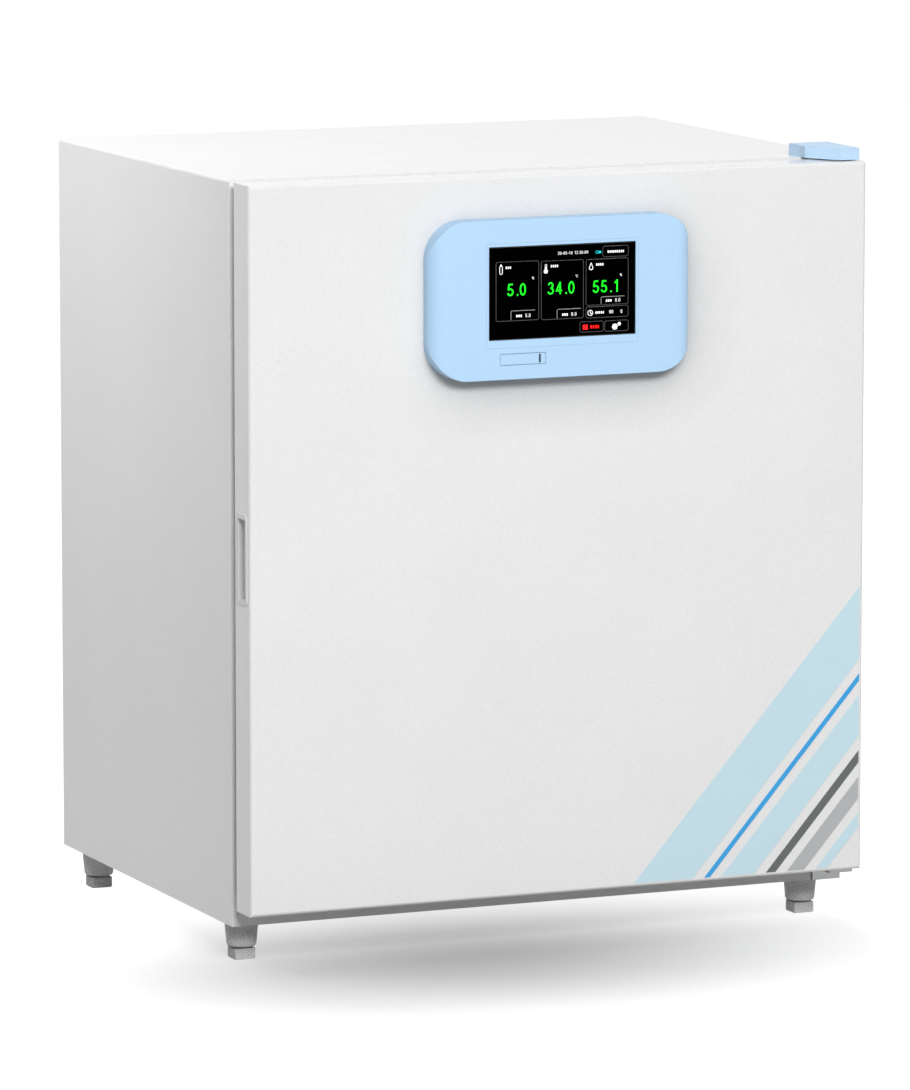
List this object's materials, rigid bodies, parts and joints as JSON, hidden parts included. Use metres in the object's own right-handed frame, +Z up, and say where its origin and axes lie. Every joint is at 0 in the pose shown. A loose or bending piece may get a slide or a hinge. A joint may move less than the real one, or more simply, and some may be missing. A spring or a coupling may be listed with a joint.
{
  "type": "carbon dioxide incubator",
  "caption": "Bench-top gas incubator: insulated cabinet on screw feet with a hinged outer door, touch display, inner glass door, shelves, air duct and Peltier cooling at the back.",
  "frame": {"origin": "on the floor under the middle of the overall box, feet screwed in", "axes": "+X to the right as the door is faced, +Y to the back, +Z up"},
  "size_m": [0.6208, 0.543, 0.738],
  "materials": {
    "white_paint": "fine textured powder coat, semi-gloss",
    "galvanised": "zinc coated sheet",
    "stainless": "brushed",
    "foam": "closed cell foam",
    "filter_white": "pleated paper and plastic",
    "motor_grey": "satin",
    "fan_black": "moulded",
    "sensor_white": "moulded",
    "silicone": "soft satin",
    "clear_glass": "clear, toughened",
    "hinge_steel": "satin",
    "door_panel": "vacuum formed",
    "gasket_grey": "soft satin",
    "cup_white": "moulded, fine grain",
    "nylon": "natural nylon",
    "pale_blue": "fine texture, semi-gloss",
    "screen_black": "glossy cover glass over a lit panel",
    "board_green": "solder mask",
    "plated_steel": "bright plating",
    "leg_grey": "moulded",
    "foot_grey": "moulded, matt",
    "aluminium": "extruded",
    "ceramic_white": "matt",
    "black_plastic": "moulded",
    "brass": "turned"
  },
  "bodies": {
    "cabinet": {"outer_shell": "white_paint", "base_pan": "galvanised", "back_panel": "white_paint", "front_frame": "white_paint", "insulation": "foam", "chamber_liner": "stainless", "upright_left": "stainless", "upright_right": "stainless", "ledges_left": "stainless", "ledges_right": "stainless", "duct_cover": "stainless", "hepa_filter": "filter_white", "fan_motor": "motor_grey", "co2_sensor": "sensor_white", "temperature_probe": "stainless", "humidity_probe": "sensor_white", "glass_seal": "silicone", "glass_hinge_brackets": "hinge_steel", "glass_catch": "sensor_white", "top_hinge_bracket": "hinge_steel", "hinge_cover": "pale_blue", "bottom_hinge_bracket": "hinge_steel", "leg_housings": "leg_grey", "cold_plates": "aluminium", "peltier_modules": "ceramic_white", "heat_sinks": "aluminium", "cooling_fan_frames": "fan_black", "fan_guards": "plated_steel", "power_supply": "galvanised", "control_board": "board_green", "power_inlet": "black_plastic", "switch_housing": "black_plastic", "gas_inlet": "brass", "gas_valve": "brass", "port_tube": "sensor_white"},
    "outer_door": {"door_skin": "white_paint", "door_liner": "door_panel", "door_foam": "foam", "door_gasket": "gasket_grey", "handle_cup": "cup_white", "door_bushes": "nylon", "display_bezel": "pale_blue", "touch_screen": "screen_black", "display_board": "board_green", "usb_socket": "plated_steel"},
    "flap": {"usb_flap": "pale_blue"},
    "inner_door": {"glass_door": "clear_glass", "glass_hinge_leaves": "hinge_steel", "glass_pull": "hinge_steel"},
    "impeller": {"fan_wheel": "fan_black"},
    "upper_shelf": {"shelf_upper": "stainless"},
    "middle_shelf": {"shelf_middle": "stainless"},
    "lower_shelf": {"shelf_lower": "stainless"},
    "pan": {"water_pan": "stainless"},
    "rotor_left": {"cooling_rotor_left": "fan_black"},
    "rotor_right": {"cooling_rotor_right": "fan_black"},
    "foot_fl": {"foot_front_left": "foot_grey"},
    "foot_fr": {"foot_front_right": "foot_grey"},
    "foot_bl": {"foot_back_left": "foot_grey"},
    "foot_br": {"foot_back_right": "foot_grey"},
    "rocker": {"switch_rocker": "black_plastic"},
    "stopper": {"port_stopper": "silicone"}
  },
  "joints": [
    {"name": "door_hinge", "type": "hinge", "parent": "cabinet", "child": "outer_door", "pos_m": [0.291, -0.2335, 0.39], "axis": [0, 0, 1], "range_deg": [0, 120]},
    {"name": "glass_hinge", "type": "hinge", "parent": "cabinet", "child": "inner_door", "pos_m": [0.257, -0.2135, 0.382], "axis": [0, 0, 1], "range_deg": [0, 99]},
    {"name": "flap_hinge", "type": "hinge", "parent": "outer_door", "child": "flap", "pos_m": [-0.0692, -0.2702, 0.559], "axis": [0, 0, -1], "range_deg": [0, 100]},
    {"name": "impeller_spin", "type": "hinge", "parent": "cabinet", "child": "impeller", "pos_m": [0, 0.12, 0.4145], "axis": [0, 1, 0], "continuous": true},
    {"name": "upper_shelf_slide", "type": "slide", "parent": "cabinet", "child": "upper_shelf", "axis": [0, -1, 0], "range_m": [0, 0.03]},
    {"name": "middle_shelf_slide", "type": "slide", "parent": "cabinet", "child": "middle_shelf", "axis": [0, -1, 0], "range_m": [0, 0.03]},
    {"name": "lower_shelf_slide", "type": "slide", "parent": "cabinet", "child": "lower_shelf", "axis": [0, -1, 0], "range_m": [0, 0.03]},
    {"name": "pan_slide", "type": "slide", "parent": "cabinet", "child": "pan", "axis": [0, -1, 0], "range_m": [0, 0.025]},
    {"name": "rotor_left_spin", "type": "hinge", "parent": "cabinet", "child": "rotor_left", "pos_m": [-0.14, 0.23, 0.5025], "axis": [0, 1, 0], "continuous": true},
    {"name": "rotor_right_spin", "type": "hinge", "parent": "cabinet", "child": "rotor_right", "pos_m": [0.14, 0.23, 0.5025], "axis": [0, 1, 0], "continuous": true},
    {"name": "foot_fl_screw", "type": "slide", "parent": "cabinet", "child": "foot_fl", "axis": [0, 0, 1], "range_m": [-0.012, 0]},
    {"name": "foot_fr_screw", "type": "slide", "parent": "cabinet", "child": "foot_fr", "axis": [0, 0, 1], "range_m": [-0.012, 0]},
    {"name": "foot_bl_screw", "type": "slide", "parent": "cabinet", "child": "foot_bl", "axis": [0, 0, 1], "range_m": [-0.012, 0]},
    {"name": "foot_br_screw", "type": "slide", "parent": "cabinet", "child": "foot_br", "axis": [0, 0, 1], "range_m": [-0.012, 0]},
    {"name": "rocker_tip", "type": "hinge", "parent": "cabinet", "child": "rocker", "pos_m": [-0.165, 0.2445, 0.107], "axis": [1, 0, 0], "range_deg": [0, 20]},
    {"name": "stopper_pull", "type": "slide", "parent": "cabinet", "child": "stopper", "axis": [0, 1, 0], "range_m": [0, 0.04]}
  ],
  "couplings": [
    {"joint": "glass_hinge", "follows": "door_hinge", "ratio": 0.82}
  ]
}
